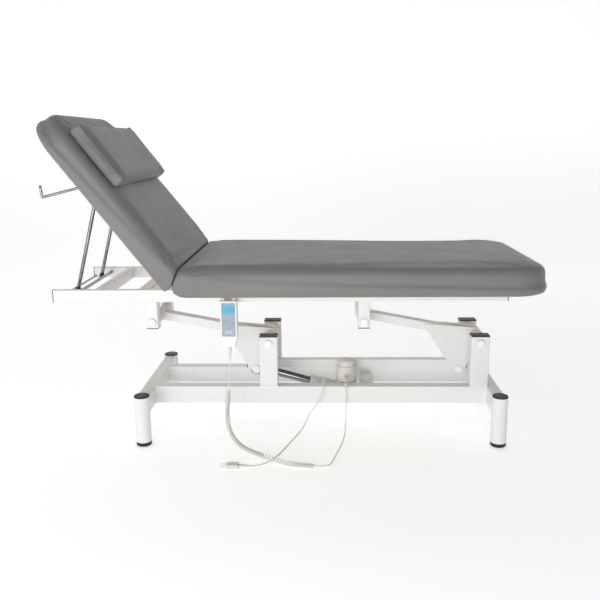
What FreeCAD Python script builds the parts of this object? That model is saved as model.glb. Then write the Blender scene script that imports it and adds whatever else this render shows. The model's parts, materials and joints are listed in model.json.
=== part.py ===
import FreeCAD, Part
import math
import os
from FreeCAD import Vector

# Electric two-section examination table. Units are millimetres.
# X runs along the table from the head end (-) to the foot end (+), Y away from the handset side,
# Z up from the floor. The origin is on the floor under the middle of the whole table.

X_AXIS = Vector(1, 0, 0)
Y_AXIS = Vector(0, 1, 0)
Z_AXIS = Vector(0, 0, 1)
ORIGIN = Vector(0, 0, 0)

# Base frame
base_x = 76.0                 # middle of the base along the table
post_half_x = 575.0
post_half_y = 236.0
post_r = 25.0
post_wall = 2.5
post_top = 165.0
foot_h = 14.0
cap_flange = 5.5
rail_h = 60.0
rail_w = 40.0
rail_z = 133.0
rail_y = 108.0
tube_wall = 2.5
weld_gap = 0.05               # space left between two tubes that are welded together

# Uprights and the lifting linkage
arm_pitch = 700.0             # distance between the two pairs of uprights
upright_size_x = 60.0
upright_size_y = 40.0
upright_top = 332.0
pivot_z = 311.0
head_pivot_x = -94.0
arm_length = 390.0
arm_angle = 10.8              # degrees above horizontal at rest
arm_tube_r = 20.0
arm_tube_half = 86.0
beam_w = 40.0
beam_h = 30.0
crank_dx = -50.0
crank_dz = -119.0
plate_t = 6.0
lift_down = 12.8              # degrees from rest to the lowest bed
lift_up = 40.0                # degrees from rest to the highest bed
pin_r = 8.0
fit = 0.05                    # radial running clearance
bush_flange = 1.5
tie_bar_y = 49.0
tie_bar_size = 30.0
tie_bar_over = 37.0

# Actuator, drawn along its own axis from the crank pin to the rear pin
rear_pivot = Vector(200.0, 0, 95.0)
tilt_per_radian = 0.1075      # actuator tilt for each radian of lift
stroke_per_radian = 119.3     # rod travel for each radian of lift
eye_hole_r = 16.6             # wide enough for the straight-line coupling of the linkage
eye_r = 23.0
eye_half_y = 18.0
rod_r = 14.0
rod_bore_r = 10.0
rod_start = 26.0
rod_end = 293.0
spindle_r = 7.0
nose_start = 191.0
nose_end = 228.0
nose_r = 21.0
gear_end = 333.0
motor_x = 168.0
motor_y = -4.0
motor_neck_z = 108.0
motor_low_z = 130.0
motor_high_z = 222.0
motor_low_r = 38.0
motor_high_r = 30.0
motor_neck_r = 24.0
motor_can_r = 20.0
lug_half_y = 10.0
socket_r = 6.0                # bosses where the two cords enter the housing
socket_depth = 14.0

# Bed frame
bed_head_x = -765.0
bed_foot_x = 662.0
bed_rail_outer = 222.0
bed_rail_w = 20.0
bed_rail_bottom = 474.0
bed_rail_top = 514.0
bracket_x = 39.0
bracket_bottom = 365.0
prop_tube_x = -627.0
rest_rod_x = -700.0
rest_rod_z = 497.0
end_rod_x = -760.0
end_rod_z = 482.0

# Upholstery
pad_half = 325.0
board_half = 300.0
board_t = 12.0
pad_top = 598.0
pad_lip = 508.0               # underside of the padding where it overhangs the frame
lip_half = 235.0
seat_foot_x = 776.0
seat_nose_x = -367.0
seat_nose_z = 541.0
seat_top_x = -344.0
seat_low_x = -349.0
foot_corner_r = 110.0
edge_r = 30.0
low_edge_r = 12.0

# Backrest, drawn lying flat and turned up about its hinge
hinge = Vector(-366.0, 0, 538.0)
back_angle = 52.5
back_length = 626.0
back_end_x = -369.6
back_under = 510.6
back_thick = 80.0
bevel_x = 33.0
bevel_low = 28.0
hinge_r = 5.0
hinge_ear_r = 11.0
hinge_ear_y = 193.0
hinge_leaf_y = 186.0
hinge_plate_t = 6.0
pillow_length = 211.0
pillow_t = 40.0
pillow_half = 290.0
pillow_from_end = 85.0

# Props, paper-roll hooks and handset
prop_top = Vector(-632.0, 0, 810.0)
prop_foot = Vector(-718.0, 0, 488.0)
prop_y = 130.0
prop_r = 6.0
prop_pin_r = 4.0
prop_fold = -0.6              # turn of the props for each degree of the backrest
hook_y = 234.0
hook_r = 4.0
handset_x = -206.0
handset_w = 54.0
handset_y = -249.6
handset_t = 24.0
handset_top = 486.0
prong_w = 9.0
prong_offset = 17.0
handset_neck = 368.0
handset_bottom = 338.0
button_w = 15.0
button_h = 13.0
button_t = 4.0
button_out = 1.2
button_z = 456.0
button_gap = 0.3

# Cords
lead_r = 2.0
coil_r = 8.0
mains_r = 2.5
lead_route = [(-206, -249.6, 337.9), (-206, -249.6, 292), (-209.1, -245.5, 245.6), (-214, -249, 200)]
coil_route = [(-214.01, -249.01, 199.9), (-221, -254, 135), (-215, -284, 78), (-183, -324, 40),
              (-125, -360, 26), (-58, -388, 17), (5, -407, 8.1), (68, -409, 8.1)]
tail_route = [(68.1, -409, 8.1), (86, -409.6, 8.1), (104, -399, 4), (115, -370, 2.2), (125, -324, 2.3),
              (137, -276, 2.1), (148, -230, 2.2), (156, -190, 3), (161, -158, 20), (163, -144, 60),
              (164, -141, 108), (163, -143, 156), (164, -124, 182), (165, -96, 188), (165, -70, 179),
              (166, -48, 168)]
mains_route = [(95.5, -27, 143), (93, -50, 158), (90, -82, 180), (88, -114, 188), (87, -142, 172),
               (84, -148, 140), (66, -147, 106), (42, -150, 74), (26, -158, 38), (6, -172, 12),
               (-14, -204, 2.6), (-30, -252, 2.5), (-46, -302, 2.6), (-64, -346, 2.5),
               (-86, -378, 2.6), (-112, -398, 2.6), (-138, -407, 4.6), (-155, -407.2, 7),
               (-170, -407.2, 7)]
plug_body = Vector(36, 26, 14)
plug_pin_r = 2.0
plug_pin_len = 19.0
plug_pin_y = 9.5

head_pivot = Vector(head_pivot_x, 0, pivot_z)
foot_pivot = Vector(head_pivot_x + arm_pitch, 0, pivot_z)
arm_reach = Vector(-arm_length * math.cos(math.radians(arm_angle)), 0,
                   arm_length * math.sin(math.radians(arm_angle)))
crank_reach = Vector(crank_dx, 0, crank_dz)
head_bed_pivot = head_pivot + arm_reach
foot_bed_pivot = foot_pivot + arm_reach
head_crank = head_pivot + crank_reach
foot_crank = foot_pivot + crank_reach
actuator_axis = rear_pivot - head_crank
actuator_length = actuator_axis.Length
actuator_slope = math.degrees(math.atan2(-actuator_axis.z, actuator_axis.x))
post_xs = (base_x - post_half_x, base_x + post_half_x)


# Basic shapes

def box(x0, x1, y0, y1, z0, z1):
    return Part.makeBox(x1 - x0, y1 - y0, z1 - z0, Vector(x0, y0, z0))


def rod(start, end, radius):
    line = end - start
    return Part.makeCylinder(radius, line.Length, start, line)


def pipe(start, end, outer, inner):
    return rod(start, end, outer).cut(rod(start, end, inner))


def mirrored(shape):
    return shape.mirror(ORIGIN, Y_AXIS)


def both_sides(shape):
    return [shape, mirrored(shape)]


def group(shapes):
    return Part.makeCompound(shapes)


def rounded_bar(x0, x1, y0, y1, z0, z1, radius, axis):
    bar = box(x0, x1, y0, y1, z0, z1)
    long_edges = [e for e in bar.Edges if abs(e.tangentAt(e.FirstParameter).dot(axis)) > 0.99]
    return bar.makeFillet(radius, long_edges)


def square_tube(x0, x1, y0, y1, z0, z1, axis, wall=tube_wall, corner=4.0):
    """A rectangular hollow section, open at both ends of the given axis."""
    outer = rounded_bar(x0, x1, y0, y1, z0, z1, corner, axis)
    side = Vector(wall, wall, wall) - axis * wall
    inner = rounded_bar(x0 + side.x, x1 - side.x, y0 + side.y, y1 - side.y,
                        z0 + side.z, z1 - side.z, corner - wall + 0.5, axis)
    return outer.cut(inner)


def end_plug(x0, x1, y0, y1, z0, z1, direction, flange, depth, wall=tube_wall):
    """A plastic plug that closes a tube: a flange over the end and a stub inside it."""
    span = Vector(x1 - x0, y1 - y0, z1 - z0)
    axis = Vector(abs(direction.x), abs(direction.y), abs(direction.z))
    inset = (Vector(1, 1, 1) - axis) * (wall + 0.3)
    stub = Part.makeBox(span.x - 2 * inset.x + axis.x * (depth - span.x),
                        span.y - 2 * inset.y + axis.y * (depth - span.y),
                        span.z - 2 * inset.z + axis.z * (depth - span.z))
    cover = Part.makeBox(span.x + axis.x * (flange - span.x),
                         span.y + axis.y * (flange - span.y),
                         span.z + axis.z * (flange - span.z))
    cover = cover.makeFillet(min(1.2, flange / 3.0), cover.Edges)
    stub = stub.makeFillet(2.4, [e for e in stub.Edges if abs(e.tangentAt(0).dot(axis)) > 0.99])
    low = Vector(x0, y0, z0)
    forward = direction.dot(Vector(1, 1, 1)) > 0
    face = low + Vector(axis.x * span.x, axis.y * span.y, axis.z * span.z) if forward else low
    cover_at = face if forward else face - axis * flange
    stub_at = face - axis * depth if forward else face
    cover.translate(cover_at)
    stub.translate(stub_at + inset)
    return cover.fuse(stub)


def pivot_bolt(x, z, head_y, tip_y, radius=pin_r, head_r=13.0, head_t=7.0):
    """A shouldered pivot bolt along Y with a rounded head outside head_y."""
    side = 1.0 if head_y > tip_y else -1.0
    shank = rod(Vector(x, tip_y, z), Vector(x, head_y, z), radius)
    head = rod(Vector(x, head_y, z), Vector(x, head_y + side * head_t, z), head_r)
    outer = max(head.Edges, key=lambda e: e.CenterOfMass.y * side)
    head = head.makeFillet(3.0, [outer])
    return shank.fuse(head)


def disc_hull(discs, y0, y1):
    """A flat plate in the XZ plane whose outline wraps the given discs, listed anticlockwise."""
    count = len(discs)
    normals = []
    for i in range(count):
        (xa, za, ra), (xb, zb, rb) = discs[i], discs[(i + 1) % count]
        dist = math.hypot(xb - xa, zb - za)
        dx, dz = (xb - xa) / dist, (zb - za) / dist
        along = (ra - rb) / dist
        out = math.sqrt(1.0 - along * along)
        normals.append((dx * along + dz * out, dz * along - dx * out))
    edges = []
    for i in range(count):
        x, z, r = discs[i]
        before, after = normals[i - 1], normals[i]
        mid_x, mid_z = before[0] + after[0], before[1] + after[1]
        size = math.hypot(mid_x, mid_z)
        first = Vector(x + before[0] * r, y0, z + before[1] * r)
        middle = Vector(x + mid_x / size * r, y0, z + mid_z / size * r)
        last = Vector(x + after[0] * r, y0, z + after[1] * r)
        nxt_x, nxt_z, nxt_r = discs[(i + 1) % count]
        start = Vector(nxt_x + after[0] * nxt_r, y0, nxt_z + after[1] * nxt_r)
        edges.append(Part.Arc(first, middle, last).toShape())
        edges.append(Part.LineSegment(last, start).toShape())
    face = Part.Face(Part.Wire(Part.__sortEdges__(edges)))
    return face.extrude(Vector(0, y1 - y0, 0))


def tilt_back(shape):
    """Turns a piece of the backrest from lying flat to its raised place."""
    turned = shape.copy()
    turned.rotate(hinge, Y_AXIS, back_angle)
    return turned


def flat_point(point):
    """The place that a point of the raised backrest has when the backrest lies flat."""
    turn = FreeCAD.Rotation(Y_AXIS, -back_angle)
    return hinge + turn.multVec(point - hinge)


# Base frame

def base_rail(side):
    x0, x1 = post_xs[0] + rail_w / 2 + weld_gap, post_xs[1] - rail_w / 2 - weld_gap
    y = side * rail_y
    return square_tube(x0, x1, y - rail_w / 2, y + rail_w / 2,
                       rail_z - rail_h / 2, rail_z + rail_h / 2, X_AXIS)


def base_end_tube(x):
    tube = square_tube(x - rail_w / 2, x + rail_w / 2, -post_half_y, post_half_y,
                       rail_z - rail_h / 2, rail_z + rail_h / 2, Y_AXIS)
    for y in (-post_half_y, post_half_y):
        tube = tube.cut(rod(Vector(x, y, 0), Vector(x, y, post_top + 1), post_r + weld_gap))
    return tube


def corner_posts():
    return [pipe(Vector(x, y, foot_h), Vector(x, y, post_top), post_r, post_r - post_wall)
            for x in post_xs for y in (-post_half_y, post_half_y)]


def round_plug(x, y, z, flange_t, stub, up):
    """A round cap over a post end, with a stub inside the post. up is 1 at the top, -1 below."""
    flange = rod(Vector(x, y, z), Vector(x, y, z + up * flange_t), post_r)
    rim = max(flange.Edges, key=lambda e: e.CenterOfMass.z * up)
    flange = flange.makeFillet(flange_t * 0.45, [rim])
    inner = rod(Vector(x, y, z), Vector(x, y, z - up * stub), post_r - post_wall - 0.3)
    return flange.fuse(inner)


def post_caps():
    return [round_plug(x, y, post_top, cap_flange, 14.0, 1)
            for x in post_xs for y in (-post_half_y, post_half_y)]


def rubber_feet():
    return [round_plug(x, y, foot_h, foot_h, 20.0, -1)
            for x in post_xs for y in (-post_half_y, post_half_y)]


def upright_columns():
    """Each column as (x, y) of its middle."""
    return [(x, y) for x in (head_pivot.x, foot_pivot.x) for y in (-rail_y, rail_y)]


def upright(x, y):
    tube = square_tube(x - upright_size_x / 2, x + upright_size_x / 2,
                       y - upright_size_y / 2, y + upright_size_y / 2,
                       rail_z + rail_h / 2 + weld_gap, upright_top, Z_AXIS)
    bore = rod(Vector(x, y - upright_size_y, pivot_z), Vector(x, y + upright_size_y, pivot_z),
               pin_r + fit)
    return tube.cut(bore)


def upright_cap(x, y):
    return end_plug(x - upright_size_x / 2, x + upright_size_x / 2,
                    y - upright_size_y / 2, y + upright_size_y / 2,
                    rail_z + rail_h / 2, upright_top, Z_AXIS, 5.0, 8.0)


def pivot_bolts(pivots):
    bolts = []
    for pivot in pivots:
        near = pivot_bolt(pivot.x, pivot.z, -(rail_y + upright_size_y / 2), -(arm_tube_half - 26.0))
        bolts += both_sides(near)
    return bolts


def actuator_cross_member():
    x0 = rear_pivot.x + 22.0
    return square_tube(x0, x0 + 40.0, -(rail_y - rail_w / 2) + weld_gap,
                       rail_y - rail_w / 2 - weld_gap, 103.0, 143.0, Y_AXIS)


def actuator_rear_bracket():
    """Two ears on a plate that is welded to the face of the cross member."""
    face_x = rear_pivot.x + 22.0
    ears = []
    for y in (-lug_half_y - 1.0 - plate_t, lug_half_y + 1.0):
        ear = disc_hull([(rear_pivot.x, rear_pivot.z, 14.0), (face_x - 6.0, 106.0, 2.0),
                         (face_x - 6.0, 128.0, 2.0)], y, y + plate_t)
        ears.append(ear)
    plate = box(face_x - 6.0, face_x - weld_gap, -22.0, 22.0, 104.0, 142.0)
    bracket = plate.fuse(ears)
    bore = rod(rear_pivot + Y_AXIS * -30, rear_pivot + Y_AXIS * 30, pin_r + fit)
    return bracket.cut(bore)


def actuator_rear_pin():
    return pivot_bolt(rear_pivot.x, rear_pivot.z, -17.1, 20.0, head_r=11.0, head_t=4.0)


# Lifting linkage

def arm_cross_tubes(pivot):
    tubes = []
    for centre in (pivot, pivot + arm_reach):
        tubes.append(pipe(centre - Y_AXIS * arm_tube_half, centre + Y_AXIS * arm_tube_half,
                          arm_tube_r, arm_tube_r - tube_wall))
    return tubes


def arm_beam(pivot):
    beam = square_tube(10.0, arm_length - 10.0, -beam_w / 2, beam_w / 2,
                       -beam_h / 2, beam_h / 2, X_AXIS)
    beam.rotate(ORIGIN, Y_AXIS, -(180.0 - arm_angle))
    beam.translate(pivot)
    for centre in (pivot, pivot + arm_reach):
        beam = beam.cut(rod(centre - Y_AXIS * 40, centre + Y_AXIS * 40, arm_tube_r + weld_gap))
    return beam


def crank_plate(pivot):
    """Triangular side plate between the pivot tube, the arm and the crank pin."""
    tip = pivot + crank_reach
    reach = arm_reach * (164.0 / arm_length)
    corner = pivot + reach
    near = disc_hull([(corner.x, corner.z, 9.0), (tip.x, tip.z, 18.0), (pivot.x, pivot.z, 27.0)],
                     -beam_w / 2 - plate_t, -beam_w / 2)
    near = near.cut(rod(pivot - Y_AXIS * 40, pivot, arm_tube_r + weld_gap))
    return near.cut(rod(tip - Y_AXIS * 40, tip, pin_r + fit))


def crank_pin(pivot):
    tip = pivot + crank_reach
    bolt = pivot_bolt(tip.x, tip.z, -beam_w / 2 - plate_t - fit, tie_bar_y + 18.0, head_r=12.0, head_t=5.0)
    nut = rod(Vector(tip.x, tie_bar_y + 18.0, tip.z), Vector(tip.x, tie_bar_y + 22.0, tip.z), 11.0)
    return bolt.fuse(nut)


def arm_bushes(pivot):
    """Flanged plastic bushes in both ends of both cross tubes."""
    bushes = []
    for centre in (pivot, pivot + arm_reach):
        inner_end = centre - Y_AXIS * (arm_tube_half - 24.0)
        mouth = centre - Y_AXIS * (arm_tube_half + 0.05)
        lip = centre - Y_AXIS * (arm_tube_half + bush_flange)
        sleeve = pipe(inner_end, mouth, arm_tube_r - tube_wall - fit, pin_r + fit)
        flange = pipe(mouth, lip, arm_tube_r, pin_r + fit)
        bushes += both_sides(sleeve.fuse(flange))
    return bushes


def tie_bar():
    x0, x1 = head_crank.x - tie_bar_over, foot_crank.x + tie_bar_over
    half = tie_bar_size / 2
    bar = square_tube(x0, x1, tie_bar_y - half, tie_bar_y + half,
                      head_crank.z - half, head_crank.z + half, X_AXIS)
    for pin in (head_crank, foot_crank):
        bar = bar.cut(rod(pin, pin + Y_AXIS * 90, pin_r + 3.0 + fit))
    return bar


def tie_bar_plugs():
    x0, x1 = head_crank.x - tie_bar_over, foot_crank.x + tie_bar_over
    half = tie_bar_size / 2
    sizes = (x0, x1, tie_bar_y - half, tie_bar_y + half, head_crank.z - half, head_crank.z + half)
    return [end_plug(*sizes, -X_AXIS, 3.5, 10.0), end_plug(*sizes, X_AXIS, 3.5, 10.0)]


def tie_bar_bushes():
    half = tie_bar_size / 2 + 2.0
    return [pipe(pin + Y_AXIS * (tie_bar_y - half), pin + Y_AXIS * (tie_bar_y + half),
                 pin_r + 3.0, pin_r + fit) for pin in (head_crank, foot_crank)]


# Actuator

def on_actuator(shape):
    """Places a shape drawn along +X from the crank pin onto the actuator's sloping axis."""
    placed = shape.copy()
    placed.rotate(ORIGIN, Y_AXIS, actuator_slope)
    placed.translate(head_crank)
    return placed


def actuator_rod():
    return on_actuator(pipe(Vector(rod_start, 0, 0), Vector(rod_end, 0, 0), rod_r, rod_bore_r))


def actuator_rod_eye():
    half = Y_AXIS * eye_half_y
    eye = rod(ORIGIN - half, half, eye_r)
    neck = rod(Vector(eye_r - 8.0, 0, 0), Vector(rod_start - weld_gap, 0, 0), rod_r)
    stub = rod(Vector(eye_r - 8.0, 0, 0), Vector(rod_start + 20.0, 0, 0), rod_bore_r - fit)
    eye = eye.fuse([neck, stub])
    return on_actuator(eye.cut(rod(ORIGIN - half * 2, half * 2, eye_hole_r)))


def actuator_nut():
    return on_actuator(pipe(Vector(rod_end - 26.0, 0, 0), Vector(rod_end, 0, 0),
                            rod_bore_r - fit, spindle_r + fit))


def actuator_spindle():
    return on_actuator(rod(Vector(rod_start + 60.0, 0, 0), Vector(gear_end - 8.0, 0, 0), spindle_r))


def actuator_nose():
    """The white front end of the guide tube, with the wiper bore for the rod."""
    body = pipe(Vector(nose_start, 0, 0), Vector(nose_end - weld_gap, 0, 0), nose_r, rod_r + fit)
    rims = [e for e in body.Edges if abs(e.Length - 2 * math.pi * nose_r) < 1.0]
    return on_actuator(body.makeFillet(2.0, rims))


def motor_shell():
    """Upright tapered cover with a domed top, standing on a narrower neck."""
    cone = Part.makeCone(motor_low_r, motor_high_r, motor_high_z - motor_low_z,
                         Vector(motor_x, motor_y, motor_low_z))
    top = [e for e in cone.Edges if e.BoundBox.ZMin > motor_high_z - 0.1]
    bottom = [e for e in cone.Edges if e.BoundBox.ZMax < motor_low_z + 0.1]
    cone = cone.makeFillet(15.0, top).makeFillet(4.0, bottom)
    neck = rod(Vector(motor_x, motor_y, motor_neck_z), Vector(motor_x, motor_y, motor_low_z + 6.0),
               motor_neck_r)
    return cone.fuse(neck)


def cord_socket(route_end, route_before):
    """A boss on the housing whose face meets the end of a cord squarely."""
    end, before = Vector(*route_end), Vector(*route_before)
    inward = (end - before).normalize()
    return rod(end + inward * weld_gap, end + inward * socket_depth, socket_r)


def actuator_housing():
    """Gear case round the guide tube, motor cover above it, the rear lug and the cord sockets."""
    gear_case = rounded_bar(nose_end, gear_end, -22.0, 22.0, -20.0, 20.0, 6.0, X_AXIS)
    lug_x = actuator_length
    lug = disc_hull([(gear_end - 12.0, -10.0, 6.0), (lug_x, 0.0, 14.0), (gear_end - 12.0, 10.0, 6.0)],
                    -lug_half_y, lug_half_y)
    guide = rod(Vector(nose_end - 1.0, 0, 0), Vector(rod_end + 28.0, 0, 0), rod_r + fit)
    tail_bore = rod(Vector(rod_end, 0, 0), Vector(gear_end - 8.0, 0, 0), spindle_r + fit)
    bore = rod(Vector(lug_x, -30, 0), Vector(lug_x, 30, 0), pin_r + fit)
    motor_bay = rod(Vector(motor_x, motor_y, motor_low_z + 6.0),
                    Vector(motor_x, motor_y, motor_high_z - 10.0), motor_can_r + 1.0)
    sockets = [cord_socket(tail_route[-1], tail_route[-2]), cord_socket(mains_route[0], mains_route[1])]
    case = on_actuator(gear_case.fuse(lug)).fuse([motor_shell()] + sockets)
    for hollow in (on_actuator(guide), on_actuator(tail_bore), on_actuator(bore), motor_bay):
        case = case.cut(hollow)
    return case


def actuator_motor():
    return rod(Vector(motor_x, motor_y, motor_low_z + 7.0),
               Vector(motor_x, motor_y, motor_high_z - 14.0), motor_can_r)


# Bed frame

def bed_rail(side):
    y0, y1 = side * bed_rail_outer, side * (bed_rail_outer - bed_rail_w)
    return square_tube(bed_head_x, bed_foot_x, min(y0, y1), max(y0, y1),
                       bed_rail_bottom, bed_rail_top, X_AXIS, 2.0, 3.0)


def bed_rail_plugs():
    plugs = []
    for direction in (-X_AXIS, X_AXIS):
        near = end_plug(bed_head_x, bed_foot_x, -bed_rail_outer, bed_rail_w - bed_rail_outer,
                        bed_rail_bottom, bed_rail_top, direction, 3.0, 9.0, 2.0)
        plugs += both_sides(near)
    return plugs


def bed_cross_tubes():
    """Cross tubes over the brackets, under the backrest and at the foot end."""
    half_y = bed_rail_outer - bed_rail_w - weld_gap
    sizes = [(prop_tube_x, 20.0), (head_bed_pivot.x, 40.0), (foot_bed_pivot.x, 40.0),
             (bed_foot_x - 14.0, 20.0)]
    return [square_tube(x - w / 2, x + w / 2, -half_y, half_y, bed_rail_bottom, bed_rail_top,
                        Y_AXIS, 2.0, 3.0) for x, w in sizes]


def frame_rods():
    """Round bars between the side rails: the rest for the props, and the one at the head end."""
    half_y = bed_rail_outer - bed_rail_w - weld_gap
    return [rod(Vector(rest_rod_x, -half_y, rest_rod_z), Vector(rest_rod_x, half_y, rest_rod_z), 6.0),
            rod(Vector(end_rod_x, -half_y, end_rod_z), Vector(end_rod_x, half_y, end_rod_z), 4.0)]


def bracket_span(pivot):
    half = bracket_x / 2
    return (pivot.x - half, pivot.x + half, -rail_y - rail_w / 2, -rail_y + rail_w / 2,
            bracket_bottom, bed_rail_bottom - weld_gap)


def bed_brackets():
    brackets = []
    for pivot in (head_bed_pivot, foot_bed_pivot):
        tube = square_tube(*bracket_span(pivot), Z_AXIS)
        bore = rod(pivot - Y_AXIS * 150, pivot, pin_r + fit)
        brackets += both_sides(tube.cut(bore))
    return brackets


def bed_bracket_plugs():
    plugs = []
    for pivot in (head_bed_pivot, foot_bed_pivot):
        plugs += both_sides(end_plug(*bracket_span(pivot), -Z_AXIS, 3.0, 6.0))
    return plugs


def hinge_brackets():
    """Ears beside the rails that carry the backrest's hinge pins."""
    y0, y1 = -hinge_ear_y - hinge_plate_t / 2, -hinge_ear_y + hinge_plate_t / 2
    ear = disc_hull([(hinge.x - 16.0, 484.0, 4.0), (hinge.x + 16.0, 484.0, 4.0),
                     (hinge.x, hinge.z, hinge_ear_r)], y0, y1)
    foot = box(hinge.x - 18.0, hinge.x + 18.0, -(bed_rail_outer - bed_rail_w) + weld_gap, y0,
               482.0, 504.0)
    bracket = ear.fuse(foot)
    bore = rod(hinge - Y_AXIS * 230, hinge, hinge_r + fit)
    return both_sides(bracket.cut(bore))


def handset_holder():
    """Bent steel clip on the near rail: a plate, a shelf, and the flange that the handset hooks over."""
    face = -bed_rail_outer
    x0, x1 = handset_x - 24.0, handset_x + 24.0
    plate = box(x0, x1, face - 2.0, face - weld_gap, 476.0, 503.0)
    shelf = box(x0, x1, face - 15.0, face - 2.0, 476.0, 478.0)
    flange = box(x0, x1, face - 15.0, face - 13.0, 476.0, 486.0)
    return plate.fuse([shelf, flange])


# Upholstery

def seat_profile():
    """Side outline of the seat padding, with the nose that meets the backrest."""
    points = [(seat_low_x + 8.0, pad_lip), (seat_foot_x, pad_lip), (seat_foot_x, pad_top),
              (seat_top_x, pad_top), (seat_nose_x, seat_nose_z), (seat_nose_x + 4.0, pad_lip + 14.0)]
    corners = [Vector(x, -pad_half, z) for x, z in points]
    face = Part.Face(Part.makePolygon(corners + corners[:1]))
    return face.extrude(Vector(0, 2 * pad_half, 0))


def plan_mask(x0, x1, half_y, radius, z0, z1, round_low, round_high):
    """A tall block whose plan has rounded corners at its low-X end, its high-X end, or both."""
    block = box(x0, x1, -half_y, half_y, z0, z1)
    edges = []
    for edge in block.Edges:
        if abs(edge.tangentAt(edge.FirstParameter).z) < 0.99:
            continue
        at_low = edge.CenterOfMass.x < (x0 + x1) / 2
        if (at_low and round_low) or (not at_low and round_high):
            edges.append(edge)
    return block.makeFillet(radius, edges)


def rim_edges(shape, z, x_low, x_high):
    """Edges that lie in the level plane z with their middle between x_low and x_high."""
    found = []
    for edge in shape.Edges:
        b = edge.BoundBox
        if abs(b.ZMin - z) < 0.01 and abs(b.ZMax - z) < 0.01 and x_low < edge.CenterOfMass.x < x_high:
            found.append(edge)
    return found


def seat_board():
    return plan_mask(seat_nose_x + 34.0, seat_foot_x - 22.0, board_half, foot_corner_r - 20.0,
                     bed_rail_top, bed_rail_top + board_t, False, True)


def seat_cushion():
    pad = seat_profile().common(plan_mask(seat_nose_x - 10.0, seat_foot_x, pad_half, foot_corner_r,
                                          pad_lip - 1, pad_top + 1, False, True))
    pad = pad.makeFillet(edge_r, rim_edges(pad, pad_top, seat_top_x + 1.0, seat_foot_x + 1.0))
    pad = pad.makeFillet(low_edge_r, rim_edges(pad, pad_lip, seat_low_x + 12.0, seat_foot_x + 1.0))
    under = box(seat_nose_x - 1, bed_foot_x + 30.0, -lip_half, lip_half, pad_lip - 1, bed_rail_top)
    board = plan_mask(seat_nose_x + 34.0 - 0.5, seat_foot_x - 22.0 + 0.5, board_half + 0.5,
                      foot_corner_r - 20.0, pad_lip - 2, bed_rail_top + board_t + 0.2, False, True)
    pad = pad.cut(under).cut(board)
    for pocket in hinge_pockets():
        pad = pad.cut(pocket)
    return pad


def hinge_pockets():
    """Slots in the padding round the hinge plates."""
    near = box(hinge.x - 28.0, hinge.x + 22.0, -hinge_ear_y - 8.0, -hinge_leaf_y + 8.0,
               pad_lip - 8.0, hinge.z + hinge_ear_r + 4.0)
    return both_sides(near)


def backrest_board():
    under = back_under + 6.0
    board = plan_mask(back_end_x - back_length + 22.0, back_end_x - 14.0, board_half,
                      foot_corner_r - 20.0, under, under + board_t, True, False)
    return tilt_back(board)


def backrest_cushion():
    head_x = back_end_x - back_length
    top = back_under + back_thick
    points = [(head_x, back_under), (back_end_x, back_under), (back_end_x, back_under + bevel_low),
              (back_end_x - bevel_x, top), (head_x, top)]
    corners = [Vector(x, -pad_half, z) for x, z in points]
    pad = Part.Face(Part.makePolygon(corners + corners[:1])).extrude(Vector(0, 2 * pad_half, 0))
    pad = pad.common(plan_mask(head_x, back_end_x + 10.0, pad_half, foot_corner_r,
                               back_under - 1, top + 1, True, False))
    pad = pad.makeFillet(edge_r, rim_edges(pad, top, head_x - 1.0, back_end_x - bevel_x - 1.0))
    pad = pad.makeFillet(low_edge_r, rim_edges(pad, back_under, head_x - 1.0, back_end_x - 1.0))
    board = plan_mask(head_x + 22.0 - 0.5, back_end_x - 14.0 + 0.5, board_half + 0.5,
                      foot_corner_r - 20.0, back_under - 2, back_under + 6.0 + board_t + 0.2, True, False)
    under = box(head_x + 60.0, back_end_x + 1, -lip_half, lip_half, back_under - 1, back_under + 6.0)
    pad = pad.cut(board).cut(under)
    for pocket in hinge_pockets():
        pad = pad.cut(pocket)
    return tilt_back(pad)


def pillow():
    head_x = back_end_x - back_length + pillow_from_end
    top = back_under + back_thick + 0.5
    pad = box(head_x, head_x + pillow_length, -pillow_half, pillow_half, top, top + pillow_t)
    return tilt_back(pad.makeFillet(9.0, pad.Edges))


def hinge_leaves():
    """Plates under the backrest's board that turn on the hinge pins, with the pins fixed in them."""
    y0, y1 = -hinge_leaf_y - hinge_plate_t / 2, -hinge_leaf_y + hinge_plate_t / 2
    top = back_under + 6.0 - weld_gap
    leaf = disc_hull([(hinge.x - 70.0, top - 10.0, 3.0), (hinge.x - 10.0, top - 10.0, 3.0),
                      (hinge.x, hinge.z, hinge_ear_r)], y0, y1)
    leaf = leaf.cut(box(hinge.x - 100.0, back_end_x - 13.0, y0 - 1, y1 + 1, top, top + 40.0))
    pin = rod(Vector(hinge.x, -hinge_ear_y - hinge_plate_t / 2 - 2.0, hinge.z),
              Vector(hinge.x, y1, hinge.z), hinge_r)
    return [tilt_back(s) for s in both_sides(leaf.fuse(pin))]


def prop_lugs():
    """Ears under the backrest's board, each with the pin that a prop turns on."""
    top = flat_point(prop_top)
    board = back_under + 6.0 - weld_gap
    y0, y1 = -prop_y - 13.5, -prop_y - 7.5
    ear = disc_hull([(top.x, top.z, 10.0), (top.x + 16.0, board - 2.0, 2.0),
                     (top.x - 16.0, board - 2.0, 2.0)], y0, y1)
    foot = box(top.x - 18.0, top.x + 18.0, y0 - 10.0, y1, board - 3.0, board)
    pin = rod(Vector(top.x, y0, top.z), Vector(top.x, -prop_y + prop_r + 2.0, top.z), prop_pin_r)
    return [tilt_back(s) for s in both_sides(ear.fuse([foot, pin]))]


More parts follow.
